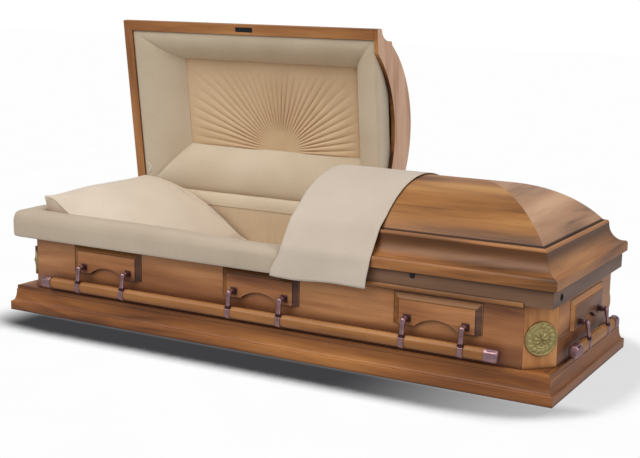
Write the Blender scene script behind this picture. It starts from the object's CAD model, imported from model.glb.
import math

import bmesh
import bpy
from mathutils import Matrix, Vector, noise


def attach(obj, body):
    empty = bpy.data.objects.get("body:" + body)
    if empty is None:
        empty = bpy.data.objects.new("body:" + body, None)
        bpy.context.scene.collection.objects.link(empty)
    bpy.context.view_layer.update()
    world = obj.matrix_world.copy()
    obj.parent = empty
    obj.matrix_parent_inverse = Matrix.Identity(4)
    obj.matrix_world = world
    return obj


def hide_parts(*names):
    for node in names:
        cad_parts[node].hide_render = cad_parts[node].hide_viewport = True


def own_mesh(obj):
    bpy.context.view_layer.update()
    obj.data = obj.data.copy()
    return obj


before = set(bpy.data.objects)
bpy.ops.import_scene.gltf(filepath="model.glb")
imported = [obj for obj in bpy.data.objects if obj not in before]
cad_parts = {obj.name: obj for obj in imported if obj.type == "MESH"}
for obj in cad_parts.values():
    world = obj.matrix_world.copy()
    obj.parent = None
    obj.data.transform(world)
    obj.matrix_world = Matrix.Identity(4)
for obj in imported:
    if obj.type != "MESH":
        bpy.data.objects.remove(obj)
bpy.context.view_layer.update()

# Sizes shared with the frame
GAP = 0.0003
LID_GAP = 0.0020
LENGTH = 2.120
WIDTH = 0.750
BASE_HEIGHT = 0.092
BASE_WIDTH = 0.088
BASE_SET = 0.018
BASE_FILLET = 0.014
PLINTH_HEIGHT = 0.034
PLINTH_ROUND = 0.004
BED_BOARD = 0.012
WALL_SET = 0.030
WALL = 0.020
WALL_HEIGHT = 0.197
CANT = 0.080
RAIL_SET = 0.020
RAIL_WIDTH = 0.045
RAIL_HEIGHT = 0.056
BEAD_HEIGHT = 0.016
BEAD_PROUD = 0.006
BEAD_DROP = 0.006
LIP_SET = 0.0066
LIP_HEIGHT = 0.027
COVE_START = 0.0045
COVE_STEP = 0.008
COVE_SPAN = 0.050
COVE_RISE = 0.066
COVE_BEAD = 0.010
RIM_WIDTH = 0.040
RIM_BACK = 0.035
GROOVE_WIDTH = 0.006
GROOVE_DEPTH = 0.006
CROWN_RISE = 0.138
CROWN_WALL = 0.014
CROWN_TONGUE = 0.015
BRIDGE_X = 0.1135
HEADER = 0.0175
ARCH_HALF = 0.280
ARCH_RISE = 0.115
HINGE_CLEAR = 0.0015
LID_OPEN = math.radians(83.0)
SIDE_PANEL = 0.300
END_PANEL = 0.320
PANEL_HEIGHT = 0.100
PANEL_LIFT = 0.084
PANEL_PROUD = 0.011
PANEL_BEVEL = 0.021
PANEL_ARCH = 0.146
PANEL_ARCH_RISE = 0.027
PANEL_PITCH = 0.645
PANEL_SHIFT = 0.024
ARM_SPREAD = 0.198
PIVOT_OUT = 0.024
PIVOT_LIFT = 0.106
PIN_RADIUS = 0.0035
PIN_CLEAR = 0.0008
LUG_PLATE = (0.026, 0.024)
LUG_PLATE_THICK = 0.0015
CHEEK = 0.003
CHEEK_RADIUS = 0.005
EYE_RADIUS = 0.009
ARM_WIDTH = 0.012
COLLAR_WIDTH = 0.022
BAR_DROP = 0.067
BAR_OUT = 0.012
BAR_HEIGHT = 0.038
BAR_DEPTH = 0.030
BAR_CHAMFER = 0.009
SIDE_BAR = 1.780
END_BAR = 0.440
CAP_LENGTH = 0.045
CAP_WALL = 0.003
MEDALLION_RADIUS = 0.052
MEDALLION_RIM = 0.006
MEDALLION_DOME = 0.012
MEDALLION_LIFT = 0.092
SOCKET_RADIUS = 0.010
SOCKET_DEPTH = 0.015
SOCKET_Y = 0.280
SOCKET_LIFT = 0.023
LATCH = (0.078, 0.018, 0.003)
LINING_WALL = 0.008
MATTRESS_HEIGHT = 0.095
MATTRESS_ROUND = 0.026
PILLOW_LENGTH = 0.565
PILLOW_HIGH = 0.262
PILLOW_LOW = 0.060
DRAPE_THICK = 0.022
DRAPE_HANG = 0.066
DRAPE_CLEAR = 0.0006
ROLL_HEIGHT = 0.048
ROLL_WIDTH = 0.056
ROLL_SET = 0.028
LID_PANEL_X = (-0.815, -0.025)
LID_PANEL_Y = (-0.212, 0.135)
LID_PANEL_DEEP = 0.082
LID_PAD = 0.018
THROW_X = (0.1160, 0.4570)
THROW_THICK = 0.003
THROW_CLEAR = 0.0018

HALF_L = LENGTH / 2
HALF_W = WIDTH / 2
WALL_BOTTOM = BASE_HEIGHT + GAP
WALL_TOP = BASE_HEIGHT + WALL_HEIGHT
RAIL_BOTTOM = WALL_TOP + GAP
RAIL_TOP = RAIL_BOTTOM + RAIL_HEIGHT
LIP_BOTTOM = RAIL_TOP + GAP
LIP_TOP = LIP_BOTTOM + LIP_HEIGHT
COVE_TOP = LIP_TOP + COVE_STEP + COVE_RISE
GROOVE_Z = COVE_TOP + COVE_BEAD
COVE_IN = LIP_SET + COVE_START + COVE_SPAN
GROOVE_IN = COVE_IN + COVE_BEAD + GROOVE_WIDTH / 2
CROWN_HALF = HALF_W - GROOVE_IN - GROOVE_WIDTH / 2
CROWN_RADIUS = (CROWN_HALF**2 + CROWN_RISE**2) / (2 * CROWN_RISE)
CROWN_CENTRE = GROOVE_Z + CROWN_RISE - CROWN_RADIUS
CROWN_SWEEP = math.degrees(math.asin(CROWN_HALF / CROWN_RADIUS))
BAR_TOP = BASE_HEIGHT + PIVOT_LIFT - BAR_DROP + BAR_HEIGHT / 2
BED_BOTTOM = BASE_HEIGHT + GAP
BED_TOP = BED_BOTTOM + BED_BOARD + GAP
LINING_SET = RAIL_SET + RAIL_WIDTH + GAP
DRAPE_IN = LINING_SET + LINING_WALL + DRAPE_THICK
HINGE = Vector((0, HALF_W - RAIL_SET + HINGE_CLEAR, LIP_BOTTOM))
LID_SWING = Matrix.Translation(HINGE) @ Matrix.Rotation(-LID_OPEN, 4, "X") @ Matrix.Translation(-HINGE)

# Sizes of the cloth and padding that the frame leaves plain
PILLOW_TRIM = 0.062
STRAP_RADIUS = 0.0105
STRAP_START = 0.262
STRAP_RUN = 0.048
THROW_SWING = (0.285, 0.372)
THROW_HANG = (0.285, 0.400)

CAMERA_PLACE = (2.07687, -3.44049, 1.11104)
CAMERA_TURN = (0.454105, -0.182357, 0.0310381)
CAMERA_LENS = 64.4495
CAMERA_SHIFT = -0.140625
LAMPS = (("key_light", 1.50, 42, (1.0, 0.975, 0.94), (0.30, 0.52, -0.80)),
         ("fill_light", 1.05, 70, (1.0, 0.98, 0.95), (-0.78, 0.34, -0.58)))
ROOM_LEVELS = (0.80, 0.42, 0.44, 0.50)


def srgb(red, green, blue):
    """A colour as seen on a screen, 0 to 255, in the linear values that shaders take."""
    linear = [c / 255 / 12.92 if c < 11 else ((c / 255 + 0.055) / 1.055) ** 2.4 for c in (red, green, blue)]
    return (*linear, 1.0)


class Signal:
    """One output of a shader node. Arithmetic on it adds Math nodes."""

    def __init__(self, finish, socket):
        self.finish = finish
        self.socket = socket

    def joined(self, operation, first, second):
        return self.finish.add("ShaderNodeMath", {"operation": operation}, {0: first, 1: second})

    def __add__(self, other):
        return self.joined("ADD", self, other)

    def __radd__(self, other):
        return self.joined("ADD", other, self)

    def __sub__(self, other):
        return self.joined("SUBTRACT", self, other)

    def __rsub__(self, other):
        return self.joined("SUBTRACT", other, self)

    def __mul__(self, other):
        return self.joined("MULTIPLY", self, other)

    def __rmul__(self, other):
        return self.joined("MULTIPLY", other, self)

    def fraction(self):
        return self.joined("FRACT", self, 0.0)

    def between(self, low, high):
        """0 below low, 1 above high, smooth between."""
        return self.finish.add("ShaderNodeMapRange", {"interpolation_type": "SMOOTHSTEP"},
                               {"Value": self, "From Min": low, "From Max": high})


class Finish:
    """A node material on one Principled shader, built up one node at a time."""

    def __init__(self, name, constants, swung=False):
        self.material = bpy.data.materials.new(name)
        self.material.use_nodes = True
        self.tree = self.material.node_tree
        self.shader = self.tree.nodes["Principled BSDF"]
        self.feed(self.shader, constants)
        self.place = self.add("ShaderNodeTexCoord", {}, {}, "Object")
        if swung:
            self.place = self.add("ShaderNodeVectorRotate", {"rotation_type": "X_AXIS"},
                                  {"Vector": self.place, "Center": HINGE, "Angle": LID_OPEN})

    def feed(self, node, values):
        for key, value in values.items():
            if isinstance(value, Signal):
                self.tree.links.new(value.socket, node.inputs[key])
            else:
                node.inputs[key].default_value = value

    def add(self, kind, settings, values, output=0):
        node = self.tree.nodes.new(kind)
        for key, value in settings.items():
            setattr(node, key, value)
        self.feed(node, values)
        return Signal(self, node.outputs[output])

    def moved(self, offset):
        return self.add("ShaderNodeVectorMath", {"operation": "ADD"}, {0: self.place, 1: offset})

    def stretched(self, vector, axis, along, across):
        """A vector scaled by its own amount along one axis, for grain and gathers."""
        scale = [across] * 3
        scale["XYZ".index(axis)] = along
        return self.add("ShaderNodeVectorMath", {"operation": "MULTIPLY"}, {0: vector, 1: tuple(scale)})

    def mottle(self, vector, scale=1.0, detail=2.0, roughness=0.5, distortion=0.0):
        values = {"Vector": vector, "Scale": scale, "Detail": detail, "Roughness": roughness,
                  "Distortion": distortion}
        return self.add("ShaderNodeTexNoise", {}, values)

    def mix(self, share, first, second):
        return self.add("ShaderNodeMix", {"data_type": "RGBA"}, {0: share, 6: first, 7: second}, 2)

    def recess(self, reach, samples=6):
        """1 in a corner or seam, 0 in the open."""
        return 1.0 - self.add("ShaderNodeAmbientOcclusion", {"samples": samples}, {"Distance": reach}, "AO")

    def bump(self, height, strength, distance):
        return self.add("ShaderNodeBump", {}, {"Height": height, "Strength": strength, "Distance": distance})

    def done(self, **outputs):
        self.feed(self.shader, {key.replace("_", " "): value for key, value in outputs.items()})
        return self.material


# Dark, middle and light of each stain
STAINS = {
    "body": (srgb(96, 54, 32), srgb(158, 104, 64), srgb(194, 138, 90)),
    "post": (srgb(116, 68, 36), srgb(180, 122, 72), srgb(210, 152, 96)),
    "base": (srgb(80, 42, 20), srgb(144, 88, 44), srgb(188, 126, 66)),
    "rail": (srgb(72, 50, 38), srgb(116, 84, 62), srgb(142, 106, 80)),
    "end_rail": (srgb(60, 40, 30), srgb(98, 70, 54), srgb(124, 92, 72)),
    "lid": (srgb(74, 42, 16), srgb(154, 100, 54), srgb(194, 138, 82)),
    "crown": (srgb(90, 52, 22), srgb(154, 102, 50), srgb(190, 140, 78)),
    "crown_end": (srgb(106, 74, 50), srgb(178, 134, 100), srgb(206, 164, 128)),
    "header": (srgb(162, 118, 92), srgb(214, 172, 142), srgb(232, 196, 170)),
    "gilt": (srgb(96, 60, 32), srgb(156, 106, 60), srgb(186, 136, 84)),
    "bevel": (srgb(82, 46, 14), srgb(138, 88, 40), srgb(168, 116, 60)),
    "bar": (srgb(80, 46, 20), srgb(146, 94, 48), srgb(184, 130, 74)),
    "end_grain": (srgb(48, 30, 24), srgb(84, 56, 44), srgb(116, 84, 66)),
    "field": (srgb(70, 42, 26), srgb(118, 80, 56), srgb(150, 108, 80)),
}
GLAZE = srgb(44, 22, 12)
made_finishes = {}


def wood(stain, axis, seed, streak=1.0, swung=False):
    """Stained hardwood, grain along one axis: slanted growth rings, fibres, pores, knots, dark glaze.

    The stain lies darker in the lids' cove, along the crowns' foot and on the walls behind the bars.
    """
    key = ("wood", stain, axis, seed)
    if key in made_finishes:
        return made_finishes[key]
    dark, middle, light = STAINS[stain]
    lacquer = {"IOR": 1.45, "Specular IOR Level": 0.35, "Coat Roughness": 0.22, "Coat IOR": 1.45}
    f = Finish("_".join(str(k) for k in key), lacquer, swung)
    board = f.moved((1.37 * seed, 0.83 * seed + 0.31, 0.57 * seed + 0.22))
    drift = f.mottle(f.stretched(board, axis, 0.9, 3.2), detail=2.0) - 0.5
    cell = f.add("ShaderNodeTexVoronoi", {}, {"Vector": f.stretched(board, axis, 1.0, 3.4), "Scale": 1.0})
    knot = 1.0 - cell.between(0.02, 0.16)
    swirl = 1.0 - cell.between(0.05, 0.50)
    reach = f.add("ShaderNodeVectorMath", {"operation": "LENGTH"},
                  {0: f.stretched(board, axis, 0.05, 1.0)}, "Value")
    ring = (reach + drift * 0.12 + swirl * 0.035) * 34.0
    phase = ring.fraction()
    late = phase.between(0.10, 0.80) * (1.0 - phase.between(0.82, 1.0))
    patch = f.mottle(f.stretched(board, axis, 0.7, 6.0), detail=2.0).between(0.35, 0.7)
    cloud = f.mottle(f.stretched(board, axis, 1.3, 11.0), detail=3.0)
    fibre = f.mottle(f.stretched(board, axis, 9.0, 330.0), detail=3.0, roughness=0.65)
    pore = f.mottle(f.stretched(board, axis, 26.0, 1300.0), detail=1.0).between(0.60, 0.74)
    flare = f.mottle(f.stretched(board, axis, 2.2, 46.0), detail=2.0, distortion=0.4).between(0.52, 0.80)
    level = cloud * 1.8 - 0.34 + (fibre - 0.5) * 0.30
    level = level - late * patch * (0.16 * streak) - flare * (0.20 * streak)
    colour = f.mix(level.between(0.0, 0.55), dark, middle)
    colour = f.mix(level.between(0.42, 1.0), colour, light)
    colour = f.mix(pore * 0.35 + knot * 0.75, colour, dark)
    shelter = f.recess(0.050).between(0.22, 0.66) * 0.50
    height = f.add("ShaderNodeSeparateXYZ", {}, {0: f.place}, 2)
    if stain == "lid":
        cove = height.between(LIP_TOP + 0.010, COVE_TOP - 0.012)
        bead = height.between(COVE_TOP - 0.002, COVE_TOP + 0.002)
        shelter = shelter + cove * (1.0 - bead) * 0.85
    if stain == "body":
        shelter = shelter + (1.0 - height.between(BAR_TOP - 0.010, BAR_TOP + 0.022)) * 0.55
    colour = f.mix(shelter, colour, dark)
    glaze = f.recess(0.016).between(0.17, 0.60)
    if stain.startswith("crown"):
        glaze = glaze + (1.0 - glaze) * (1.0 - height.between(GROOVE_Z + 0.0025, GROOVE_Z + 0.0065))
    colour = f.mix(glaze * 0.90, colour, GLAZE)
    rough = 0.36 + fibre * 0.12 + glaze * 0.2
    relief = fibre * 0.6 - pore * 0.8 - late * 0.2
    made_finishes[key] = f.done(Base_Color=colour, Roughness=rough, Coat_Weight=0.12 - glaze * 0.11,
                                Normal=f.bump(relief, 0.30, 0.0004))
    return made_finishes[key]


CLOTHS = {
    "crepe": (srgb(180, 160, 130), srgb(214, 199, 176)),
    "drape": (srgb(164, 147, 127), srgb(195, 180, 160)),
    "sunburst": (srgb(192, 160, 122), srgb(222, 194, 158)),
    "shade": (srgb(178, 154, 124), srgb(212, 190, 160)),
    "throw": (srgb(178, 164, 148), srgb(206, 192, 176)),
    "pillow": (srgb(196, 180, 160), srgb(222, 208, 190)),
}


def cloth(tone, axis, seed, crinkle=0.5, swung=False):
    """Woven crepe: fine crinkles along one axis, a close weave and soft uneven colour."""
    key = ("cloth", tone, axis, seed)
    if key in made_finishes:
        return made_finishes[key]
    shade, light = CLOTHS[tone]
    fuzz = {"Sheen Weight": 0.15, "Sheen Roughness": 0.45, "Specular IOR Level": 0.25, "IOR": 1.45}
    f = Finish("_".join(str(k) for k in key), fuzz, swung)
    lie = f.moved((0.71 * seed, 1.13 * seed, 0.47 * seed))
    ripple = f.mottle(f.stretched(lie, axis, 16.0, 150.0), detail=2.0, roughness=0.6)
    thread = f.mottle(lie, 1500.0, 1.0)
    wale = f.mottle(f.stretched(lie, axis, 90.0, 900.0), detail=1.0)
    broad = f.mottle(lie, 4.0, 2.0)
    level = (broad - 0.5) * 0.7 + (ripple - 0.5) * 0.5 * crinkle
    level = level + (thread - 0.5) * 0.35 + (wale - 0.5) * 0.3 + 0.62
    colour = f.mix(level.between(0.0, 1.0), shade, light)
    fold = f.recess(0.045).between(0.22, 0.85)
    colour = f.mix(fold * 0.45, colour, srgb(168, 120, 78))
    if tone == "sunburst":
        colour = f.mix(f.recess(0.030).between(0.12, 0.42) * 0.65, colour, srgb(160, 108, 68))
    relief = ripple * crinkle + thread * 0.20 + wale * 0.25
    made_finishes[key] = f.done(Base_Color=colour, Roughness=0.78 + (thread - 0.5) * 0.2,
                                Normal=f.bump(relief, 0.45, 0.0010))
    return made_finishes[key]


def cast(name, dark, light, rough, pitting=1.0):
    """Cast metal with a dark patina left in its hollows and rubbed bright on its faces."""
    f = Finish(name, {"Specular IOR Level": 0.5})
    patina = f.mottle(f.place, 70.0, 3.0)
    pits = f.mottle(f.place, 900.0, 2.0)
    hollow = f.recess(0.006).between(0.25, 0.85)
    colour = f.mix((patina - 0.35).between(0.0, 0.5) * 0.55, light, dark)
    colour = f.mix(hollow * 0.9, colour, srgb(24, 14, 14))
    grain = f.bump(pits, 0.10 * pitting, 0.0003)
    rough = rough + patina * 0.16 + hollow * 0.25
    return f.done(Base_Color=colour, Metallic=1.0 - hollow * 0.7, Roughness=rough, Normal=grain)


COPPER = cast("antique_copper", srgb(88, 58, 60), srgb(170, 136, 140), 0.30)
PATINA = cast("patinated_copper", srgb(52, 32, 34), srgb(110, 78, 78), 0.34)
BRASS = cast("aged_brass", srgb(122, 108, 66), srgb(172, 158, 108), 0.42, 2.0)
STEEL = cast("blackened_steel", srgb(20, 20, 22), srgb(58, 58, 60), 0.36)


def arc(centre, radii, start, end, steps):
    """Points along an elliptical arc, angles in degrees from the first axis towards the second."""
    angles = [math.radians(start + (end - start) * i / steps) for i in range(steps + 1)]
    return [(centre[0] + radii[0] * math.cos(a), centre[1] + radii[1] * math.sin(a)) for a in angles]


def arch(half, rise, base, steps):
    """A shallow arch of one half width and rise over base, from left to right, as (along, up)."""
    radius = (half**2 + rise**2) / (2 * rise)
    sweep = math.degrees(math.asin(half / radius))
    return arc((0.0, base + rise - radius), (radius, radius), 90 + sweep, 90 - sweep, steps)


def eased(outline, radius, steps=3):
    """A closed outline with its corners rounded, less where its edges are short."""
    rounded = []
    for i, point in enumerate(outline):
        here = Vector(point)
        back = Vector(outline[i - 1]) - here
        ahead = Vector(outline[(i + 1) % len(outline)]) - here
        if back.angle(ahead) > math.radians(160):
            rounded.append(tuple(here))
            continue
        start = here + back.normalized() * min(radius, 0.45 * back.length)
        end = here + ahead.normalized() * min(radius, 0.45 * ahead.length)
        for k in range(steps + 1):
            t = k / steps
            rounded.append(tuple(start * (1 - t) ** 2 + here * (2 * t * (1 - t)) + end * t * t))
    return rounded


def mesh_of(bm):
    """A finished mesh from a bmesh, its faces turned outwards."""
    bmesh.ops.recalc_face_normals(bm, faces=bm.faces)
    mesh = bpy.data.meshes.new("piece")
    bm.to_mesh(mesh)
    bm.free()
    return mesh


def weld(bm):
    """Join points that meet and drop edges without length."""
    bmesh.ops.remove_doubles(bm, verts=bm.verts, dist=1e-6)
    bmesh.ops.dissolve_degenerate(bm, edges=bm.edges, dist=1e-6)


def join_rings(bm, low, high):
    """Faces between two closed rings of equal length."""
    for i in range(len(low)):
        j = (i + 1) % len(low)
        bm.faces.new((low[i], low[j], high[j], high[i]))


def loft(loops, caps=True):
    """A closed solid through loops of equal length, capped, or joined from last to first."""
    bm = bmesh.new()
    rows = [[bm.verts.new(p) for p in loop] for loop in loops]
    pairs = list(zip(rows, rows[1:]))
    if not caps:
        pairs.append((rows[-1], rows[0]))
    for low, high in pairs:
        join_rings(bm, low, high)
    if caps:
        bm.faces.new(rows[0])
        bm.faces.new(rows[-1])
    weld(bm)
    return mesh_of(bm)


def prism(outline, shift):
    """A closed solid between an outline and its copy moved by shift."""
    return loft([[Vector(p) for p in outline], [Vector(p) + Vector(shift) for p in outline]])


def merged(meshes):
    """Several meshes as one."""
    bm = bmesh.new()
    for mesh in meshes:
        bm.from_mesh(mesh)
    joined = bpy.data.meshes.new("piece")
    bm.to_mesh(joined)
    bm.free()
    return joined


def block(size, centre, ease):
    """A box with rounded arrises."""
    bm = bmesh.new()
    bmesh.ops.create_cube(bm, size=1.0)
    bmesh.ops.scale(bm, vec=Vector(size), verts=bm.verts)
    bmesh.ops.translate(bm, vec=Vector(centre), verts=bm.verts)
    bmesh.ops.bevel(bm, geom=bm.edges[:], offset=min(ease, 0.4 * min(size)), segments=2, profile=0.5,
                    affect="EDGES")
    return mesh_of(bm)


def lathe(profile, centre, steps=28):
    """A solid turned about a line along X through centre, from (radius, place along the line)."""
    turn = Matrix.Rotation(math.pi / 2, 4, "Y")
    bm = bmesh.new()
    rows = []
    for i in range(steps):
        angle = 2 * math.pi * i / steps
        spot = [Vector((r * math.cos(angle), r * math.sin(angle), z)) for r, z in profile]
        rows.append([bm.verts.new(Vector(centre) + turn @ p) for p in spot])
    for i in range(steps):
        here, ahead = rows[i], rows[(i + 1) % steps]
        for k in range(len(profile) - 1):
            bm.faces.new((here[k], ahead[k], ahead[k + 1], here[k + 1]))
    weld(bm)
    return mesh_of(bm)


def linked(name, data):
    """An object in the scene."""
    obj = bpy.data.objects.new(name, data)
    bpy.context.scene.collection.objects.link(obj)
    return obj


def cut(body, cutter):
    """A mesh with another cut from it."""
    work = linked("work", body)
    tool = linked("tool", cutter)
    step = work.modifiers.new("cut", "BOOLEAN")
    step.operation = "DIFFERENCE"
    step.object = tool
    graph = bpy.context.evaluated_depsgraph_get()
    result = bpy.data.meshes.new_from_object(work.evaluated_get(graph))
    for helper in (tool, work):
        bpy.data.objects.remove(helper, do_unlink=True)
    return result


def piece(name, mesh, finish, body, stands_for=(), placed=None, sharp=35.0):
    """A named object in the scene, smooth but for its arrises, that rides on a body of the frame."""
    obj = linked(name, mesh)
    for each in finish if isinstance(finish, (list, tuple)) else [finish]:
        mesh.materials.append(each)
    mesh.shade_smooth()
    if sharp:
        mesh.set_sharp_from_angle(angle=math.radians(sharp))
    if placed is not None:
        mesh.transform(placed)
    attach(obj, body)
    if stands_for:
        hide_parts(*stands_for)
    return obj


def timber(node, mesh, finish, body="shell", placed=None, sharp=35.0):
    """A wooden piece in the place of a frame node."""
    return piece(node + "_wood", mesh, finish, body, [node], placed, sharp)


def padding(name, mesh, finish, stands_for=(), sharp=0, body="shell", placed=None):
    """A piece of the upholstery."""
    return piece(name, mesh, finish, body, stands_for, placed, sharp)


def smoothstep(value, low, high):
    t = min(1.0, max(0.0, (value - low) / (high - low)))
    return t * t * (3 - 2 * t)


SIDES = {
    "front": (HALF_L, lambda along, inset, z: Vector((along, -(HALF_W - inset), z))),
    "rear": (HALF_L, lambda along, inset, z: Vector((along, HALF_W - inset, z))),
    "head": (HALF_W, lambda along, inset, z: Vector((-(HALF_L - inset), along, z))),
    "foot": (HALF_W, lambda along, inset, z: Vector((HALF_L - inset, along, z))),
}
GRAIN = {"front": "X", "rear": "X", "head": "Y", "foot": "Y"}
SEEDS = {"front": 1, "rear": 2, "head": 3, "foot": 4}


def side_run(side, section, low=None, high=None):
    """A moulding along one side: mitred where an end is None, otherwise cut square at that place."""
    half, place = SIDES[side]

    def end(sign, square):
        return [place(sign * (half - inset - GAP) if square is None else square, inset, z)
                for inset, z in section]

    return loft([end(-1, low), end(1, high)])


def turned(side):
    """Turn and outer wall distance that carry a front-facing piece to one side of the casket."""
    reach_x = HALF_L - WALL_SET
    reach_y = HALF_W - WALL_SET
    return {"front": (0.0, Vector((0, -reach_y, 0))), "rear": (math.pi, Vector((0, reach_y, 0))),
            "foot": (math.pi / 2, Vector((reach_x, 0, 0))),
            "head": (-math.pi / 2, Vector((-reach_x, 0, 0)))}[side]


def build_base():
    cove_top = BASE_HEIGHT - BASE_FILLET
    ease = PLINTH_ROUND
    cove = arc((ease, cove_top), (BASE_SET - 1.5 * ease, cove_top - PLINTH_HEIGHT), 0, -84, 16)
    plinth = arc((ease, PLINTH_HEIGHT - ease), (ease, ease), 90, 180, 6)
    outline = [(BASE_SET, BASE_HEIGHT), (BASE_SET, cove_top)] + cove + plinth
    outline += [(0.0, 0.0), (BASE_WIDTH, 0.0), (BASE_WIDTH, BASE_HEIGHT)]
    section = eased(outline, 0.0016)
    for side in SIDES:
        timber("base_moulding_" + side, side_run(side, section), wood("base", GRAIN[side], SEEDS[side]))
    for name in ("bottom_board", "bed_board"):
        dress(name, wood("base", "X", 5))


def dress(name, finish):
    """A finish on a frame node that is shown as it is."""
    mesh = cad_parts[name].data
    mesh.materials.clear()
    mesh.materials.append(finish)


def octagon(set_back, cant_back):
    """Plan of the canted box, its sides and its cants set back by their own amounts."""
    x = HALF_L - set_back
    y = HALF_W - set_back
    reach = CANT - 2 * (set_back - WALL_SET) + (cant_back - WALL_SET) * math.sqrt(2)
    right = [(x - reach, -y), (x, -(y - reach)), (x, y - reach), (x - reach, y)]
    left = [(-px, py) for px, py in reversed(right)]
    return right + left


def build_walls():
    outer = octagon(WALL_SET, WALL_SET)
    inner = octagon(WALL_SET + WALL, WALL_SET + WALL)
    names = ["corner_post_front_foot", "end_board_foot", "corner_post_rear_foot", "side_board_rear",
             "corner_post_rear_head", "end_board_head", "corner_post_front_head", "side_board_front"]
    for i, name in enumerate(names):
        j = (i + 1) % len(outer)
        a, b, c, d = (Vector(p) for p in (outer[i], outer[j], inner[j], inner[i]))
        along = (b - a).normalized() * GAP / 2
        plan = eased([a + along, b - along, c - along, d + along], 0.0009, 2)
        mesh = prism([(x, y, WALL_BOTTOM) for x, y in plan], (0, 0, WALL_TOP - WALL_BOTTOM))
        if name.startswith("corner_post"):
            finish = wood("post", "Z", 6 + i)
        else:
            finish = wood("body", "X" if name.startswith("side") else "Y", 6 + i)
        timber(name, mesh, finish)


def build_rails():
    outer, inner = RAIL_SET, RAIL_SET + RAIL_WIDTH
    corners = [(outer, RAIL_BOTTOM), (inner, RAIL_BOTTOM), (inner, RAIL_TOP), (outer, RAIL_TOP)]
    section = eased(corners, 0.0016)
    half_bead = BEAD_HEIGHT / 2
    bead_z = RAIL_BOTTOM - BEAD_DROP + half_bead
    bead = arc((RAIL_SET - GAP, bead_z), (-BEAD_PROUD, half_bead), -90, 90, 14)
    reach = HALF_L - WALL_SET - CANT
    centre = (HALF_L - RAIL_SET, -SOCKET_Y, RAIL_BOTTOM + SOCKET_LIFT)
    for side in SIDES:
        mesh = side_run(side, section)
        if side == "foot":
            mesh = cut(mesh, lathe([(0, -SOCKET_DEPTH), (SOCKET_RADIUS, -SOCKET_DEPTH),
                                    (SOCKET_RADIUS, SOCKET_DEPTH), (0, SOCKET_DEPTH)], centre))
        stain = "rail" if GRAIN[side] == "X" else "end_rail"
        timber("top_rail_" + side, mesh, wood(stain, GRAIN[side], 20 + SEEDS[side], 0.6))
    for side in ("front", "rear"):
        timber("rail_bead_" + side, side_run(side, bead, -reach, reach), wood("gilt", "X", 30 + SEEDS[side]))
    ring = [(-0.0020, -0.010), (-0.0004, -0.010), (-0.0004, 0.0004), (0.0022, 0.0004), (0.0016, 0.0014),
            (-0.0012, 0.0014), (-0.0020, 0.0006), (-0.0020, -0.010)]
    bush = lathe([(SOCKET_RADIUS + more, out) for more, out in ring], centre)
    floor = lathe([(0, -0.0125), (SOCKET_RADIUS - 0.0008, -0.0125), (SOCKET_RADIUS - 0.0008, -0.0105),
                   (0.0040, -0.0105), (0.0030, -0.0060), (0, -0.0060)], centre)
    piece("key_socket_bush", merged([bush, floor]), STEEL, "shell", ())
    dress("lid_catch", STEEL)


def panel_outline(length, inset, lift):
    """A panel with an arch in its lower edge, as (along, up) from the middle of that edge."""
    half = length / 2 - inset
    bow = [(x, z + lift) for x, z in arch(PANEL_ARCH / 2, PANEL_ARCH_RISE, 0.0, 24)]
    top = PANEL_HEIGHT - inset
    return [(-half, lift)] + bow + [(half, lift), (half, top), (-half, top)]


def panel_mesh(length):
    """The raised field with a quirk inside its bevel and a fine groove outside it, facing -Y."""
    foot = 0.0008
    crest = PANEL_PROUD - 0.0014
    steps = [(GAP, 0.0, 0.0), (0.0016, 0.0, 0.0), (0.0020, 0.0006, 0.0003), (0.0018, 0.0012, 0.0004),
             (foot, 0.0016, 0.0004), (foot, 0.0030, 0.0004)]
    for t in (0.25, 0.5, 0.75, 1.0):
        steps.append((foot + (crest - foot) * t**1.1, 0.0030 + (PANEL_BEVEL - 0.0050) * t, 0.0004))
    quirk = crest - 0.0012
    steps += [(quirk, PANEL_BEVEL - 0.0016, 0.0004), (quirk, PANEL_BEVEL - 0.0008, 0.0004),
              (PANEL_PROUD - 0.0004, PANEL_BEVEL - 0.0004, 0.0004),
              (PANEL_PROUD, PANEL_BEVEL + 0.0006, 0.0010)]
    mesh = loft([[Vector((x, -out, z)) for x, z in panel_outline(length, inset, lift)]
                 for out, inset, lift in steps])
    for face in mesh.polygons:
        slant = face.normal.y > -0.97
        if slant and (face.normal.x > 0.2 or face.normal.z < -0.2):
            face.material_index = 1
        elif slant and (face.normal.z > 0.2 or face.normal.x < -0.2):
            face.material_index = 2
    return mesh


def lug_mesh():
    """Backplate with two cheeks and the pin between them, twice, about the panel's middle."""
    pivot = Vector((0, -PIVOT_OUT, PIVOT_LIFT - PANEL_LIFT))
    parts = []
    inner = ARM_WIDTH / 2 + PIN_CLEAR
    for side in (-1, 1):
        at = pivot + Vector((side * ARM_SPREAD / 2, 0, 0))
        plate_y = -PANEL_PROUD - LUG_PLATE_THICK / 2 + GAP
        parts.append(block((LUG_PLATE[0], LUG_PLATE_THICK, LUG_PLATE[1]), (at.x, plate_y, at.z), 0.0007))
        for hand in (-1, 1):
            middle = at.x + hand * (inner + CHEEK / 2)
            depth = PIVOT_OUT - PANEL_PROUD
            nose = arc((at.y, at.z), (CHEEK_RADIUS,) * 2, 270, 90, 12)
            root_y = at.y + depth
            root = [(root_y, at.z + s * CHEEK_RADIUS * 1.3) for s in (1, -1)]
            parts.append(prism([(middle - CHEEK / 2, y, z) for y, z in nose + root], (CHEEK, 0, 0)))
        head = inner + CHEEK
        pin = [(0, -head - 0.0016), (0.0020, -head - 0.0013), (0.0034, -head - 0.0003),
               (0.0034, -head + 0.0002), (PIN_RADIUS - 0.0006, -head + 0.0002)]
        pin += [(r, -z) for r, z in reversed(pin)]
        parts.append(lathe(pin, at, 16))
    return merged(parts)


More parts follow.
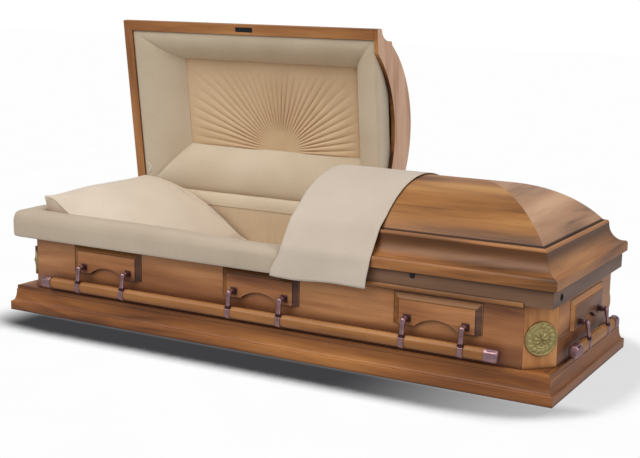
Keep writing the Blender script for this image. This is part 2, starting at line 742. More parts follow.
def build_panels():
    side_mesh, end_mesh, lugs = panel_mesh(SIDE_PANEL), panel_mesh(END_PANEL), lug_mesh()
    seed = 40
    for side in SIDES:
        turn, wall = turned(side)
        along = side in ("front", "rear")
        stations = {"": 0.0}
        if along:
            stations = {"_" + word: PANEL_SHIFT + n * PANEL_PITCH
                        for word, n in (("head", -1), ("middle", 0), ("foot", 1))}
        for word, x in stations.items():
            seed += 1
            name = "raised_panel_" + side + word
            spot = Matrix.Translation(wall + Vector((x, 0, BASE_HEIGHT + PANEL_LIFT)))
            spot = spot @ Matrix.Rotation(turn, 4, "Z")
            grain = GRAIN[side]
            stains = ("body", "end_grain", "bevel") if along else ("field", "end_grain", "post")
            mesh = (side_mesh if along else end_mesh).copy()
            timber(name, mesh, [wood(stain, grain, seed) for stain in stains], "shell", spot, 22.0)
            piece("lugs_" + side + word, lugs.copy(), PATINA, "shell", (), spot)


def bar_outline(grow, ease):
    """Section of the bar as (out, up), a rectangle with its corners taken off."""
    h, d, c = BAR_HEIGHT / 2 + grow, BAR_DEPTH / 2 + grow, BAR_CHAMFER + 0.4 * grow
    return eased([(d, -h + c), (d, h - c), (d - c, h), (-d + c, h), (-d, h - c), (-d, -h + c),
                  (-d + c, -h), (d - c, -h)], ease, 2)


def bar_length(stations, ease=0.0012):
    """The bar's section carried along X through (place, growth) stations."""
    return loft([[Vector((x, -BAR_OUT - out, -BAR_DROP + up)) for out, up in bar_outline(grow, ease)]
                 for x, grow in stations])


def oval(centre, half_x, half_y):
    """A loop of points round an upright axis, squarish, for the arm's shank and rings."""
    count = 16
    points = []
    for i in range(count):
        a = 2 * math.pi * i / count
        c, s = math.cos(a), math.sin(a)
        spread = (abs(c) ** 3 + abs(s) ** 3) ** (-1 / 3)
        points.append(Vector(centre) + Vector((half_x * c * spread, half_y * s * spread, 0)))
    return points


def arm_mesh(x):
    """One cast arm: its eye, waisted shank, twin rings and the strap round the bar."""
    half = ARM_WIDTH / 2
    bore = PIN_RADIUS + PIN_CLEAR
    eye = [(bore, -half), (EYE_RADIUS - 0.0014, -half), (EYE_RADIUS, -half + 0.0020),
           (EYE_RADIUS, half - 0.0020), (EYE_RADIUS - 0.0014, half), (bore, half), (bore, -half)]
    foot = -BAR_DROP + BAR_HEIGHT / 2 + 0.0035
    out = -BAR_OUT - BAR_DEPTH / 2 + 0.0045
    shank = [(0.0080, 0.0040, 0.0040, -0.0120), (0.0062, 0.0076, 0.0066, -0.0135),
             (0.0015, 0.0094, 0.0078, -0.0148), (-0.0070, 0.0092, 0.0072, -0.0158),
             (-0.0150, 0.0080, 0.0056, -0.0172), (-0.0260, 0.0074, 0.0046, -0.0192),
             (-0.0360, 0.0078, 0.0046, -0.0210), (foot, 0.0082, 0.0050, out)]
    parts = [lathe(eye, (x, 0, 0), 24),
             loft([oval((x, lean, z), wide, deep) for z, wide, deep, lean in shank])]
    for drop, grow in ((0.0, 0.0), (-0.0052, 0.0012)):
        z = foot + drop
        ring = [oval((x, out, z + dz), 0.0094 + grow - trim, 0.0070 + grow - trim)
                for dz, trim in ((-0.0022, 0.0012), (-0.0014, 0.0), (0.0010, 0.0), (0.0018, 0.0012))]
        parts.append(loft(ring))
    wide = COLLAR_WIDTH / 2 - 0.002
    strap = [(-wide, 0.0016), (-wide + 0.0008, 0.0028), (wide - 0.0008, 0.0028), (wide, 0.0016)]
    parts.append(bar_length([(x + along, grow) for along, grow in strap]))
    lip = -BAR_DROP - BAR_HEIGHT / 2 + BAR_CHAMFER
    hook = (x, -BAR_OUT - BAR_DEPTH / 2 - 0.0022, lip - 0.0010)
    parts.append(block((2 * wide + 0.003, 0.0030, 0.0034), hook, 0.0010))
    mesh = merged(parts)
    for face in mesh.polygons:
        if foot - 0.0076 < face.center.z < foot + 0.0020 and face.center.y < out + 0.009:
            face.material_index = 1
    return mesh


def cap_mesh(sign, length):
    """A cast end cap: rounded over the bar's end, flanged at its mouth, with a dark inlay on its chamfer."""
    end = sign * length / 2
    mouth = sign * (length / 2 - CAP_LENGTH)
    stations = [(mouth, 0.0008), (mouth + sign * 0.0006, CAP_WALL), (mouth + sign * 0.0040, CAP_WALL),
                (mouth + sign * 0.0048, CAP_WALL - 0.0008), (end - sign * 0.0070, CAP_WALL - 0.0008),
                (end - sign * 0.0032, CAP_WALL - 0.0018), (end - sign * 0.0010, CAP_WALL - 0.0042),
                (end, CAP_WALL - 0.0075)]
    body = bar_length(stations, 0.0030)
    chamfer = Vector((0, -BAR_OUT - BAR_DEPTH / 2 - CAP_WALL + 0.0008 + BAR_CHAMFER / 2,
                      -BAR_DROP + BAR_HEIGHT / 2 + CAP_WALL - 0.0008 - BAR_CHAMFER / 2))
    slot = block((CAP_LENGTH * 0.62, 0.0046, 0.0012), (0, 0, 0), 0.0005)
    for face in slot.polygons:
        face.material_index = 1
    middle = (end + mouth) / 2 + sign * 0.001
    place = Matrix.Translation(chamfer + Vector((middle, 0, 0)))
    slot.transform(place @ Matrix.Rotation(math.radians(45), 4, "X"))
    return merged([body, slot])


def build_bars():
    pair = (-ARM_SPREAD / 2, ARM_SPREAD / 2)
    arms = {"front": [PANEL_SHIFT + n * PANEL_PITCH + a for n in (-1, 0, 1) for a in pair],
            "rear": [-(PANEL_SHIFT + n * PANEL_PITCH + a) for n in (-1, 0, 1) for a in pair],
            "head": list(pair), "foot": list(pair)}
    for side in SIDES:
        turn, wall = turned(side)
        length = SIDE_BAR if side in ("front", "rear") else END_BAR
        pivot = wall + wall.normalized() * PIVOT_OUT + Vector((0, 0, BASE_HEIGHT + PIVOT_LIFT))
        spot = Matrix.Translation(pivot) @ Matrix.Rotation(turn, 4, "Z")
        body = side + "_bar"
        reach = length / 2 - CAP_LENGTH * 0.6
        timber("swing_bar_" + side, bar_length([(-reach, 0.0), (reach, 0.0)]),
               wood("bar", GRAIN[side], 60 + SEEDS[side], 0.7), body, spot)
        castings = {"arms_": [arm_mesh(x) for x in arms[side]],
                    "end_caps_": [cap_mesh(s, length) for s in (-1, 1)]}
        for word, meshes in castings.items():
            piece(word + side, merged(meshes), [COPPER, PATINA], body, placed=spot, sharp=40.0)


def medallion_height(radius, angle):
    """Relief of the plate: roped rim, a ring of plain leaves and a rosette in the middle."""
    share = radius / MEDALLION_RADIUS
    field = 0.0052
    if share > 0.90:
        rope = 0.0006 * math.sin(44 * angle + 26 * share)
        return MEDALLION_RIM + (0.0012 + rope) * math.sin(math.pi * min(1.0, (1.0 - share) / 0.10)) ** 0.7
    if share > 0.56:
        t = (share - 0.56) / 0.34
        leaf = abs(math.sin(8 * angle + 1.5 * (t - 0.5)))
        rise = max(0.0, leaf - abs(2 * t - 1) ** 1.5 * 0.9)
        vein = 1 - 0.35 * math.exp(-((1 - leaf) / 0.03) ** 2)
        return field + 0.0022 * rise**0.6 * vein
    if share > 0.48:
        return field + 0.0018 * math.sin(math.pi * (share - 0.48) / 0.08)
    petal = abs(math.cos(4 * angle))
    edge = 0.24 + 0.20 * petal
    swell = max(0.0, 1 - (share / edge) ** 3)
    bud = 0.0024 * max(0.0, 1 - (share / 0.11) ** 2) ** 0.5
    return field + 0.0040 * swell**0.6 * (0.55 + 0.45 * petal) + bud


def build_medallions():
    mid_x = HALF_L - WALL_SET - CANT / 2
    mid_y = HALF_W - WALL_SET - CANT / 2
    around, across = 144, 46
    names = {(1, -1): "front_foot", (1, 1): "rear_foot", (-1, 1): "rear_head", (-1, -1): "front_head"}
    bm = bmesh.new()
    back = [bm.verts.new((MEDALLION_RADIUS * math.cos(a), MEDALLION_RADIUS * math.sin(a), GAP))
            for a in (2 * math.pi * i / around for i in range(around))]
    rows = [back]
    for k in range(across):
        radius = MEDALLION_RADIUS * (1 - k / across)
        rows.append([bm.verts.new((radius * math.cos(a), radius * math.sin(a),
                                   min(MEDALLION_DOME, medallion_height(radius, a))))
                     for a in (2 * math.pi * i / around for i in range(around))])
    for low, high in zip(rows, rows[1:]):
        join_rings(bm, low, high)
    bm.faces.new(back)
    top = bm.verts.new((0, 0, medallion_height(0.0, 0.0)))
    for i in range(around):
        bm.faces.new((rows[-1][i], rows[-1][(i + 1) % around], top))
    disc = mesh_of(bm)
    for (sx, sy), name in names.items():
        facing = Vector((sx, sy, 0)).normalized()
        spot = Matrix.Translation((sx * mid_x, sy * mid_y, BASE_HEIGHT + MEDALLION_LIFT))
        spot = spot @ facing.to_track_quat("Z", "Y").to_matrix().to_4x4()
        node = "medallion_" + name
        piece(node + "_plate", disc.copy(), BRASS, "shell", [node], spot, 50.0)


def lid_outline():
    """Lip, cove and bead of the lid moulding, from its lower edge up to the groove, as (inset, height)."""
    ease = COVE_START / 3
    cove = arc((COVE_IN - COVE_SPAN, COVE_TOP), (COVE_SPAN, -COVE_RISE), 90, 0, 20)
    bead = arc((COVE_IN + COVE_BEAD, COVE_TOP), (-COVE_BEAD, COVE_BEAD), 0, 90, 10)[1:]
    lip = [(LIP_SET, LIP_BOTTOM), (LIP_SET, LIP_TOP), (LIP_SET + ease, LIP_TOP + COVE_STEP / 2)]
    return lip + cove + bead


def lid_section():
    """The lid moulding's outline closed by its back."""
    edge = GROOVE_IN - GAP
    back = [(edge, GROOVE_Z - GROOVE_DEPTH), (edge, GROOVE_Z - CROWN_TONGUE),
            (LIP_SET + RIM_WIDTH, LIP_BOTTOM + RIM_BACK), (LIP_SET + RIM_WIDTH, LIP_BOTTOM)]
    return eased(lid_outline() + back, 0.0014)


def crown_mesh(end_sign, bridge):
    """Hipped vault: the crown's section along both sides and round the end, in one shell."""
    hip = HALF_L - HALF_W
    outer = arc((0.0, CROWN_CENTRE), (CROWN_RADIUS,) * 2, 90 - CROWN_SWEEP, 90, 30)
    inner = arc((0.0, CROWN_CENTRE), (CROWN_RADIUS - CROWN_WALL,) * 2, 90, 90 - CROWN_SWEEP, 10)
    edge = HALF_W - GROOVE_IN - GAP
    outer = [(edge, GROOVE_Z - CROWN_TONGUE), (edge, GROOVE_Z - GROOVE_DEPTH)] + outer
    points = outer + inner
    bm = bmesh.new()
    rows = []
    for half, z in points:
        half = max(half, 0.0)
        corner = end_sign * (hip + half)
        spots = [(bridge, -half, z), (corner, -half, z), (corner, half, z), (bridge, half, z)]
        rows.append([bm.verts.new(p) for p in spots])
    ridge = len(outer) - 1
    for i in range(len(rows)):
        j = (i + 1) % len(rows)
        if i == ridge:
            continue
        for k in range(3):
            face = bm.faces.new((rows[i][k], rows[i][k + 1], rows[j][k + 1], rows[j][k]))
            face.material_index = 1 if k == 1 else 0
    for k in (0, 3):
        bm.faces.new([row[k] for row in rows])
    weld(bm)
    for line in bm.edges:
        if len({f.material_index for f in line.link_faces}) > 1:
            line.smooth = False
    return mesh_of(bm)


def header_mesh(x_low, x_high):
    """Board that closes the lid at the bridge: the lid's whole outline with an arch cut out of it."""
    crown = arc((0.0, CROWN_CENTRE), (CROWN_RADIUS,) * 2, 90 - CROWN_SWEEP, 90, 24)
    right = [(HALF_W - inset, z) for inset, z in lid_outline()] + crown
    left = [(-y, z) for y, z in reversed(right)]
    outline = right + left[1:] + arch(ARCH_HALF, ARCH_RISE, LIP_BOTTOM, 36)
    trimmed = []
    for x, trim in ((x_low, 0.0012), (x_low + 0.0010, 0.0), (x_high - 0.0010, 0.0), (x_high, 0.0012)):
        loop = []
        count = len(outline)
        for i, point in enumerate(outline):
            here = Vector(point)
            tangent = Vector(outline[(i + 1) % count]) - Vector(outline[i - 1])
            inward = Vector((-tangent.y, tangent.x)).normalized()
            spot = here + inward * trim
            loop.append(Vector((x, spot.x, spot.y)))
        trimmed.append(loop)
    mesh = loft(trimmed)
    for face in mesh.polygons:
        if abs(face.normal.x) < 0.5:
            face.material_index = 1
    return mesh


def latch_place():
    middle = (-(HALF_L - LIP_SET) + BRIDGE_X) / 2
    return Vector((middle, -(HALF_W - LIP_SET - RIM_WIDTH / 2), LIP_BOTTOM))


def build_lid(word, end_sign, placed):
    bridge = BRIDGE_X + end_sign * LID_GAP / 2
    inner = bridge + end_sign * HEADER
    edge = inner + end_sign * GAP
    low, high = (edge, None) if end_sign > 0 else (None, edge)
    section = lid_section()
    swung = placed is not None
    seed = 70 if end_sign > 0 else 80
    for side in ("front", "rear"):
        name = word + "_moulding_" + side
        mesh = side_run(side, section, low, high)
        if word == "head_lid" and side == "front":
            recess = block((LATCH[0] + 2 * GAP, LATCH[1] + 2 * GAP, 2 * LATCH[2]), latch_place(), 0.0002)
            mesh = cut(mesh, recess)
        timber(name, mesh, wood("lid", "X", seed + SEEDS[side], 1.0, swung), word, placed)
    end_side = "foot" if end_sign > 0 else "head"
    finish = wood("lid", "Y", seed + SEEDS[end_side], 1.0, swung)
    timber(word + "_moulding_end", side_run(end_side, section), finish, word, placed)
    finishes = [wood("crown", "X", seed + 5, 1.0, swung), wood("crown_end", "Y", seed + 5, 1.0, swung)]
    timber(word + "_crown", crown_mesh(end_sign, edge), finishes, word, placed, 30.0)
    finishes = [wood("header", "Y", seed + 7, 1.0, swung),
                wood("lid", "X", seed + SEEDS["front"], 1.0, swung)]
    timber(word + "_header", header_mesh(min(bridge, inner), max(bridge, inner)), finishes, word, placed)


def wave(point, size, seed):
    """Soft uneven swell of cloth, -1 to 1, about size metres from crest to crest."""
    return noise.noise(Vector(point) / size + Vector((seed * 3.7, seed * 1.9, seed * 5.3)))


def rectangle(x_low, x_high, y_low, y_high, z, per_side):
    """Points round a level rectangle, evenly along each side."""
    corners = [Vector((x_low, y_low, z)), Vector((x_high, y_low, z)), Vector((x_high, y_high, z)),
               Vector((x_low, y_high, z))]
    points = []
    for i, here in enumerate(corners):
        ahead = corners[(i + 1) % 4]
        points += [here.lerp(ahead, k / per_side) for k in range(per_side)]
    return points


def build_lid_lining():
    rim = LIP_SET + RIM_WIDTH + GAP
    x_low, x_high = -(HALF_L - rim), BRIDGE_X - LID_GAP / 2 - HEADER - GAP
    y_rim = HALF_W - rim
    deep = LIP_BOTTOM + LID_PANEL_DEEP
    back = LIP_BOTTOM + RIM_BACK - GAP
    slim = (GROOVE_IN - rim) + CROWN_TONGUE
    swell = LID_PANEL_DEEP * 0.08
    per_side = 90

    def rim_gap(point):
        return min(point.x - x_low, x_high - point.x, y_rim - abs(point.y))

    def band(t, z):
        x0 = x_low + (LID_PANEL_X[0] - x_low) * t
        x1 = x_high + (LID_PANEL_X[1] - x_high) * t
        y0 = -y_rim + (LID_PANEL_Y[0] + y_rim) * t
        y1 = y_rim + (LID_PANEL_Y[1] - y_rim) * t
        return rectangle(x0, x1, y0, y1, z, per_side)

    loops = [rectangle(x_low + slim, x_high, -y_rim + slim, y_rim - slim, deep + LID_PAD, per_side),
             rectangle(x_low, x_high, -y_rim, y_rim, back, per_side)]
    steps = 26
    for i in range(steps + 1):
        t = i / steps
        z = LIP_BOTTOM + swell + (deep - LIP_BOTTOM - swell) * t**2.1
        z -= 0.010 * math.sin(math.pi * t**1.3)
        loop = band(t, z)
        for k, point in enumerate(loop):
            near = (k % per_side) / per_side
            corner = min(near, 1 - near) * 10
            soft = math.sin(math.pi * min(1.0, t * 1.02))
            crease = 0.004 * math.exp(-(corner / 0.12) ** 2) * soft
            point.z += crease + 0.0016 * wave(point, 0.16, 3) * soft
        loops.append(loop)
    lining = padding("head_lid_lining_rolls", loft(loops), cloth("crepe", "Z", 1, 0.5, True),
                     ["head_lid_lining"], body="head_lid", placed=LID_SWING)
    unswung = LID_SWING.inverted()
    swell_out(lining, 0.012, lambda p: (unswung @ p).z > deep - 0.010 or rim_gap(unswung @ p) < 0.004, 40.0)

    build_sunburst(deep)

    loops = []
    for i in range(25):
        t = i / 24
        bow = math.sin(math.pi * t)
        radius = STRAP_RADIUS * min(1.0, 4 * bow + 0.25)
        centre = x_low + 0.012 + 0.020 * bow
        loops.append([Vector((centre + radius * math.cos(a), STRAP_START - STRAP_RUN * t,
                              LIP_BOTTOM + STRAP_RADIUS + 0.9 * radius * math.sin(a)))
                      for a in (2 * math.pi * k / 14 for k in range(14))])
    strap = padding("stay_strap_cloth", loft(loops), cloth("pillow", "Y", 12, 0.3, True), body="head_lid",
                    placed=LID_SWING)


def build_sunburst(deep):
    """Pleats that fan out from the middle of the field's rear edge and flatten towards its border."""
    under = 0.005
    hub = Vector((-0.385, LID_PANEL_Y[1] + under))
    x_low, x_high, y_low = LID_PANEL_X[0] - under, LID_PANEL_X[1] + under, LID_PANEL_Y[0] - under
    pleats, per_pleat, rings = 34, 12, 64
    rows = []
    for i in range(pleats * per_pleat + 1):
        angle = math.pi * i / (pleats * per_pleat)
        way = Vector((math.cos(angle), -math.sin(angle)))
        reaches = [(x_high - hub.x) / way.x if way.x > 1e-6 else 9.0,
                   (x_low - hub.x) / way.x if way.x < -1e-6 else 9.0,
                   (y_low - hub.y) / way.y if way.y < -1e-6 else 9.0]
        full = min(reaches)
        row = []
        for j in range(rings + 1):
            reach = 0.002 + (full - 0.002) * (j / rings) ** 1.15
            spot = hub + way * reach
            turn = angle + 0.012 * noise.noise(Vector((angle * 7, reach * 5, 0.5)))
            pleat = abs(math.sin(turn * pleats)) ** 0.7
            tight = 1 + 0.35 * noise.noise(Vector((int(turn * pleats / math.pi) * 1.7, 2.0, 0)))
            depth = 0.0058 * tight * smoothstep(reach, 0.055, 0.15)
            depth *= 1 - 0.50 * smoothstep(reach, 0.20, 0.46)
            border = min(spot.x - LID_PANEL_X[0], LID_PANEL_X[1] - spot.x, spot.y - LID_PANEL_Y[0])
            depth *= 0.10 + 0.90 * smoothstep(border, 0.0, 0.075)
            rise = pleat * depth + 0.0015 * wave((spot.x, spot.y, 0), 0.15, 5)
            row.append(Vector((spot.x, spot.y, deep - 0.0012 - rise)))
        rows.append(row)
    burst = padding("head_lid_sunburst", surface(rows), cloth("sunburst", "Y", 2, 0.3, True),
                    body="head_lid", placed=LID_SWING)
    thicken(burst, 0.0010)


def surface(rows):
    """An open sheet through rows of points."""
    bm = bmesh.new()
    lines = [[bm.verts.new(p) for p in row] for row in rows]
    for low, high in zip(lines, lines[1:]):
        for i in range(len(low) - 1):
            bm.faces.new((low[i], low[i + 1], high[i + 1], high[i]))
    mesh = bpy.data.meshes.new("piece")
    bm.to_mesh(mesh)
    bm.free()
    return mesh


def thicken(obj, thickness):
    step = obj.modifiers.new("thickness", "SOLIDIFY")
    step.thickness = thickness
    step.offset = 0.0


def swell_out(obj, cap, held, pressure=4.0):
    """Round a padded piece out under cloth pressure. Points that held picks stay, none moves beyond cap."""
    scene = bpy.context.scene
    points = obj.data.vertices
    before = [v.co.copy() for v in points]
    pins = obj.vertex_groups.new(name="held")
    pins.add([v.index for v in points if held(v.co)], 1.0, "REPLACE")
    cloth_step = obj.modifiers.new("swell", "CLOTH")
    fabric = cloth_step.settings
    fabric.quality = 4
    fabric.use_pressure = True
    fabric.uniform_pressure_force = pressure
    fabric.vertex_group_mass = "held"
    fabric.effector_weights.gravity = 0.0
    cloth_step.point_cache.frame_start = 1
    cloth_step.point_cache.frame_end = 20
    for frame_number in range(1, 21):
        scene.frame_set(frame_number)
    shaped = obj.evaluated_get(bpy.context.evaluated_depsgraph_get())
    shifts = [v.co - was for v, was in zip(shaped.data.vertices, before)]
    obj.modifiers.remove(cloth_step)
    obj.vertex_groups.remove(pins)
    scene.frame_set(1)
    for point, was, shift in zip(points, before, shifts):
        if shift.length > cap:
            shift *= cap / shift.length
        point.co = was + shift
    obj.data.update()


def build_interior():
    cant = WALL_SET + WALL + 2 * GAP
    outer = octagon(LINING_SET, cant)
    inner = octagon(LINING_SET + LINING_WALL, cant + LINING_WALL)

    def around(plan, z, ripple):
        points = []
        for i, here in enumerate(plan):
            a, b = Vector(here), Vector(plan[(i + 1) % len(plan)])
            count = max(4, int((b - a).length / 0.012))
            inward = Vector((-(b - a).y, (b - a).x)).normalized()
            for k in range(count):
                spot = a.lerp(b, k / count)
                fold = ripple * (0.5 + 0.5 * math.sin(k * 2.4 + 1.7 * math.sin(k * 0.31)))
                spot += inward * fold
                points.append(Vector((spot.x, spot.y, z)))
        return points

    loops = [around(outer, BED_BOTTOM, 0), around(outer, RAIL_TOP, 0), around(inner, RAIL_TOP, 0)]
    heights = (RAIL_TOP - 0.01, RAIL_TOP - 0.05, RAIL_TOP - 0.10, RAIL_TOP - 0.16, BED_BOTTOM)
    loops += [around(inner, z, 0.0022) for z in heights]
    count = min(len(loop) for loop in loops)
    loops = [[loop[int(i * len(loop) / count)] for i in range(count)] for loop in loops]
    padding("side_lining_cloth", loft(loops, caps=False), cloth("shade", "Z", 3), ["side_lining"], 50.0)

    top = BED_TOP + MATTRESS_HEIGHT
    loops = []
    for t in (0.0, 0.08, 0.25, 0.5, 0.8, 1.0):
        angle = math.pi / 2 * t
        inset = MATTRESS_ROUND * 0.5 * (1 - math.sin(angle))
        plan = octagon(LINING_SET + LINING_WALL + GAP + inset, cant + LINING_WALL + GAP + inset)
        z = BED_TOP + MATTRESS_ROUND * (1 - math.cos(angle))
        loops.append([Vector((x, y, z)) for x, y in eased(plan, 0.02, 3)])
    upper = [[Vector((p.x, p.y, top - (p.z - BED_TOP))) for p in loop] for loop in reversed(loops)]
    mattress = padding("mattress_cloth", loft(loops + upper), cloth("shade", "X", 4), ["mattress"], 50.0)
    build_pillow(top + GAP)


def build_pillow(floor):
    """Wedge pillow: thick at the head end, its front edge falling fast, a corded seam round its top."""
    head_x = -(HALF_L - DRAPE_IN - 2 * GAP)
    half = HALF_W - DRAPE_IN - 2 * GAP
    length = PILLOW_LENGTH - PILLOW_TRIM
    cuts = 47
    bm = bmesh.new()
    bmesh.ops.create_cube(bm, size=1.0)
    bmesh.ops.subdivide_edges(bm, edges=bm.edges, cuts=cuts, use_grid_fill=True)
    seam = []
    for vert in bm.verts:
        u, v, w = (vert.co[i] * 2 for i in range(3))
        if w > 0.999 and max(abs(u), abs(v)) > 0.999:
            seam.append(vert.index)
        squeeze = 1 - 0.035 * (1 - w) / 2 - 0.012 * (1 - max(abs(u), abs(v)) ** 4)
        overhang = 0.014 * smoothstep(w, 0.0, 1.0)
        x = head_x - overhang + (length + overhang) * (1 + u * squeeze) / 2
        slope = min(1.0, max(0.0, (x - head_x) / length))
        height = PILLOW_HIGH - 0.022 + (PILLOW_LOW - PILLOW_HIGH - 0.026) * slope**2.1
        crown = 0.012 * (1 - u**4) * (1 - v**4)
        fall = 0.075 * smoothstep(slope, 0.02, 0.30) * smoothstep(-v, 0.30, 1.0) * (1 - slope)
        top = height + crown - fall - 0.014 * smoothstep(-v, 0.0, 1.0)
        vert.co = (x, v * (half + overhang) * squeeze, floor + top * (1 + w) / 2)
    mesh = mesh_of(bm)
    pillow = padding("pillow_cloth", mesh, cloth("pillow", "Y", 5, 0.3), ["pillow"])
    swell_out(pillow, 0.012, lambda p: p.z < floor + 0.002)
    normals = [v.normal.copy() for v in mesh.vertices]
    for index in seam:
        mesh.vertices[index].co += normals[index] * 0.004
    step = pillow.modifiers.new("soften", "SUBSURF")
    step.levels = step.render_levels = 1
    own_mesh(pillow)


def drape_section(height):
    """Padded band over the rail: its top and its outer hang, as (inset, height)."""
    face = RAIL_SET - DRAPE_CLEAR
    bead_face = RAIL_SET - BEAD_PROUD - 2 * DRAPE_CLEAR
    bead_top = RAIL_BOTTOM - BEAD_DROP + BEAD_HEIGHT + DRAPE_CLEAR
    bottom = RAIL_TOP - DRAPE_HANG
    over = RAIL_TOP + DRAPE_CLEAR
    thick = DRAPE_THICK
    rise = thick * height
    corners = [(bead_face, bottom), (face - thick * 0.92, bottom), (face - thick, bottom + 0.012),
               (face - thick, over - 0.004), (face - thick * 0.55, over + rise),
               (face + RAIL_WIDTH / 2, over + 1.3 * rise), (DRAPE_IN - thick / 2, over + rise),
               (DRAPE_IN, over + rise / 3), (DRAPE_IN - thick / 3, over),
               (face, over), (face, bead_top), (bead_face, bead_top)]
    return eased(corners, 0.011, 5)


def build_extendover():
    stop = BRIDGE_X - LID_GAP
    rear_stop = HALF_W - RAIL_SET - ROLL_SET - ROLL_WIDTH / 2 - GAP
    turn_in = 0.050

    def corner(inset, angle):
        radius = max(0.0, turn_in - inset)
        centre = max(turn_in, inset)
        return Vector((-(HALF_L - centre) - radius * math.sin(angle),
                       -(HALF_W - centre) - radius * math.cos(angle), 0))

    loops = []
    count = 110
    for k in range(count + 1):
        x = stop + (-(HALF_L - turn_in) - stop) * k / count
        height = 1.0 - 0.50 * smoothstep(x, -0.55, 0.11)
        loops.append([Vector((x, -(HALF_W - inset), z)) for inset, z in drape_section(height)])
    for k in range(1, 9):
        angle = math.pi / 2 * k / 9
        loops.append([corner(inset, angle) + Vector((0, 0, z)) for inset, z in drape_section(1.0)])
    for k in range(41):
        y = -(HALF_W - turn_in) + (rear_stop + HALF_W - turn_in) * k / 40
        loops.append([Vector((-(HALF_L - inset), y if inset < turn_in else max(y, -(HALF_W - inset)), z))
                      for inset, z in drape_section(1.0)])
    for loop in loops:
        for point in loop:
            if point.z > RAIL_TOP - DRAPE_HANG + 0.001:
                shift = 0.0014 * wave(point, 0.09, 7)
                shift += 0.0010 * wave((point.x, point.y, point.z * 0.3), 0.035, 8)
                outward = Vector((point.x / HALF_L * 0.2, -1 if point.y < 0 else 0.2, 0.5)).normalized()
                point += outward * shift
    band = padding("extendover_front_cloth", loft(loops), cloth("drape", "Z", 6, 0.35), ["extendover_front"])
    swell_out(band, 0.004, lambda p: p.z < RAIL_TOP + 0.002, 20.0)
    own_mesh(band)

    loops = []
    start = -(HALF_L - RAIL_SET)
    for k in range(161):
        x = start + (stop - start) * k / 160
        end = 1 - 0.35 * (max(0.0, 1 - 12 * k / 160) ** 2)
        swell = 1 + 0.03 * wave((x, 0, 0), 0.06, 9)
        section = arc((RAIL_SET + ROLL_SET, RAIL_TOP + DRAPE_CLEAR),
                      (ROLL_WIDTH / 2, ROLL_HEIGHT * end * swell), 180, 0, 16)
        loops.append([Vector((x, HALF_W - inset, z)) for inset, z in section])
    roll = padding("extendover_rear_cloth", loft(loops), cloth("crepe", "Y", 8), ["extendover_rear"], 45.0)
    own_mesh(roll)


def throw_path(lift):
    """The cloth's line over the foot lid, from its front hem to its rear hem, as (y, z)."""
    hem = RAIL_TOP - DRAPE_HANG
    face = HALF_W - LIP_SET + lift
    shoulder = HALF_W - COVE_IN
    start = 90 - CROWN_SWEEP * 0.88
    crown = arc((0.0, CROWN_CENTRE), (CROWN_RADIUS + lift,) * 2, start, 90 + CROWN_SWEEP, 60)
    path = [(face, hem), (face, (hem + LIP_TOP) / 2), (face, LIP_TOP),
            (shoulder + 1.3 * lift, COVE_TOP + COVE_BEAD / 3),
            (shoulder - COVE_BEAD / 2 + lift, COVE_TOP + COVE_BEAD + lift)]
    return [(-y, z) for y, z in path + crown]


def spaced(path, count):
    """The same line as count + 1 evenly spaced points, its corners rounded off a little."""
    points = [Vector(p) for p in path]
    lengths = [0.0]
    for a, b in zip(points, points[1:]):
        lengths.append(lengths[-1] + (b - a).length)
    even = []
    for k in range(count + 1):
        want = lengths[-1] * k / count
        i = max(j for j in range(len(points) - 1) if lengths[j] <= want + 1e-12)
        share = (want - lengths[i]) / (lengths[i + 1] - lengths[i])
        even.append(points[i].lerp(points[i + 1], min(1.0, share)))
    for _ in range(3):
        even = [even[0]] + [(a + b * 2 + c) / 4 for a, b, c in zip(even, even[1:], even[2:])] + [even[-1]]
    return even


def build_overthrow():
    """Cloth over the bridge end of the foot lid, a little askew, its front corner swung past the bridge."""
    line = spaced(throw_path(THROW_CLEAR + THROW_THICK / 2 + 0.0012), 120)
    across = 60
    rows = []
    for y, z in line:
        low = 1 - smoothstep(z, *THROW_SWING) if y < 0 else 0.0
        left = THROW_X[0] + 0.0015 - 0.030 * low
        right = THROW_X[1] - 0.012 - 0.008 * low
        row = []
        for i in range(across + 1):
            u = i / across
            x = left + (right - left) * u
            out = 0.0
            if y < -0.30:
                hang = 1 - smoothstep(z, *THROW_HANG)
                out = 0.009 * hang + 0.005 * hang * math.sin(2.4 * math.pi * u + 0.6)
                out += 0.004 * hang * smoothstep(0.12 - x, -0.03, 0.02)
            fold = 0.0007 * wave((x + 0.5 * y, y, z), 0.10, 11) + 0.0004 * wave((x - y, z, y), 0.04, 12)
            dip = -0.007 * low * math.exp(-((x - 0.18) / 0.09) ** 2)
            lift = max(0.0, fold)
            row.append(Vector((x, y - out - lift * (1 if y < 0 else -1), z + dip + lift)))
        rows.append(row)
    throw = padding("overthrow_cloth", surface(rows), cloth("throw", "X", 10, 0.25), ["overthrow"],
                    body="foot_lid")
    thicken(throw, 0.0022)


def build_camera():
    yaw, pitch, roll = CAMERA_TURN
    ahead = Vector((-math.sin(yaw) * math.cos(pitch), math.cos(yaw) * math.cos(pitch), math.sin(pitch)))
    side = ahead.cross(Vector((0, 0, 1))).normalized()
    over = side.cross(ahead)
    right = math.cos(roll) * side + math.sin(roll) * over
    up = -math.sin(roll) * side + math.cos(roll) * over
    lens = bpy.data.cameras.new("camera")
    lens.sensor_width = 36.0
    lens.lens = CAMERA_LENS
    lens.shift_x = CAMERA_SHIFT
    lens.clip_end = 60.0
    camera = linked("camera", lens)
    turn = Matrix((right, up, -ahead)).transposed().to_4x4()
    camera.matrix_world = Matrix.Translation(CAMERA_PLACE) @ turn
    bpy.context.scene.camera = camera


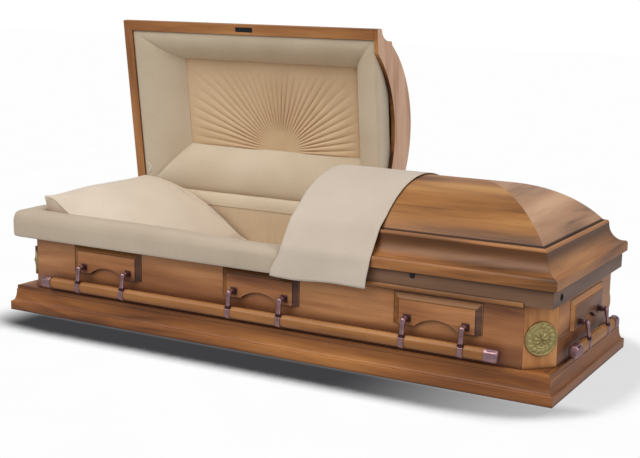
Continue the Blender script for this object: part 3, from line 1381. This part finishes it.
def build_floor():
    """A pale floor that lights nothing, darker close under and in front of the casket."""
    reach = 40
    floor = linked("floor", surface([[Vector((x, y, -0.0005)) for x in (-reach, reach)]
                                     for y in (-reach, reach)]))
    paint = Finish("studio_floor", {"Roughness": 0.9, "Specular IOR Level": 0.0, "Base Color": (0, 0, 0, 1),
                                    "Emission Strength": 1.0})
    along = paint.add("ShaderNodeSeparateXYZ", {}, {0: paint.place}, 0)
    across = paint.add("ShaderNodeSeparateXYZ", {}, {0: paint.place}, 1)
    contact = paint.recess(0.25, 32).between(0.015, 0.125)
    depth = (1.0 - along.between(0.35, 1.15) * 0.45) * (1.0 - across.between(-0.40, -0.30) * 0.50)
    depth = depth * along.between(-1.13, -0.88)
    tint = paint.mix(paint.mottle(paint.place, 3.0), (1.0, 1.0, 1.0, 1.0), srgb(252, 252, 253))
    tint = paint.mix(contact * depth, tint, srgb(64, 64, 66))
    floor.data.materials.append(paint.done(Emission_Color=tint))
    floor.visible_diffuse = False
    floor.visible_glossy = False


def build_lights():
    """Two broad lamps and a soft room that is white where the camera sees it."""
    for name, energy, spread, colour, way in LAMPS:
        sun = bpy.data.lights.new(name, "SUN")
        sun.energy = energy
        sun.angle = math.radians(spread)
        sun.color = colour
        lamp = linked(name, sun)
        lamp.rotation_euler = Vector(way).to_track_quat("-Z", "Y").to_euler()

    world = bpy.data.worlds.new("studio")
    bpy.context.scene.world = world
    world.use_nodes = True
    nodes, links = world.node_tree.nodes, world.node_tree.links
    backdrop = nodes["Background"]
    place = nodes.new("ShaderNodeTexCoord")
    height = nodes.new("ShaderNodeSeparateXYZ")
    sky = nodes.new("ShaderNodeValToRGB")
    stops = sky.color_ramp.elements
    for share in (0.46, 0.56):
        stops.new(share)
    for stop, level in zip(stops, ROOM_LEVELS):
        stop.color = (level, level, level * 1.02, 1.0)
    lift = nodes.new("ShaderNodeMapRange")
    lift.inputs["From Min"].default_value = -1.0
    links.new(place.outputs["Generated"], height.inputs[0])
    links.new(height.outputs["Z"], lift.inputs["Value"])
    links.new(lift.outputs[0], sky.inputs["Fac"])
    links.new(sky.outputs["Color"], backdrop.inputs["Color"])
    white = nodes.new("ShaderNodeBackground")
    white.inputs["Color"].default_value = (1.0, 1.0, 1.0, 1.0)
    white.inputs["Strength"].default_value = 1.05
    seen = nodes.new("ShaderNodeLightPath")
    choose = nodes.new("ShaderNodeMixShader")
    links.new(seen.outputs["Is Camera Ray"], choose.inputs[0])
    links.new(backdrop.outputs[0], choose.inputs[1])
    links.new(white.outputs[0], choose.inputs[2])
    links.new(choose.outputs[0], nodes["World Output"].inputs["Surface"])
    bpy.context.scene.view_settings.view_transform = "Standard"
    bpy.context.scene.view_settings.look = "None"


build_base()
build_walls()
build_rails()
build_panels()
build_bars()
build_medallions()
build_lid("head_lid", -1, LID_SWING)
build_lid("foot_lid", 1, None)
dress("head_lid_latch", STEEL)
build_lid_lining()
build_interior()
build_extendover()
build_overthrow()
build_camera()
build_floor()
build_lights()
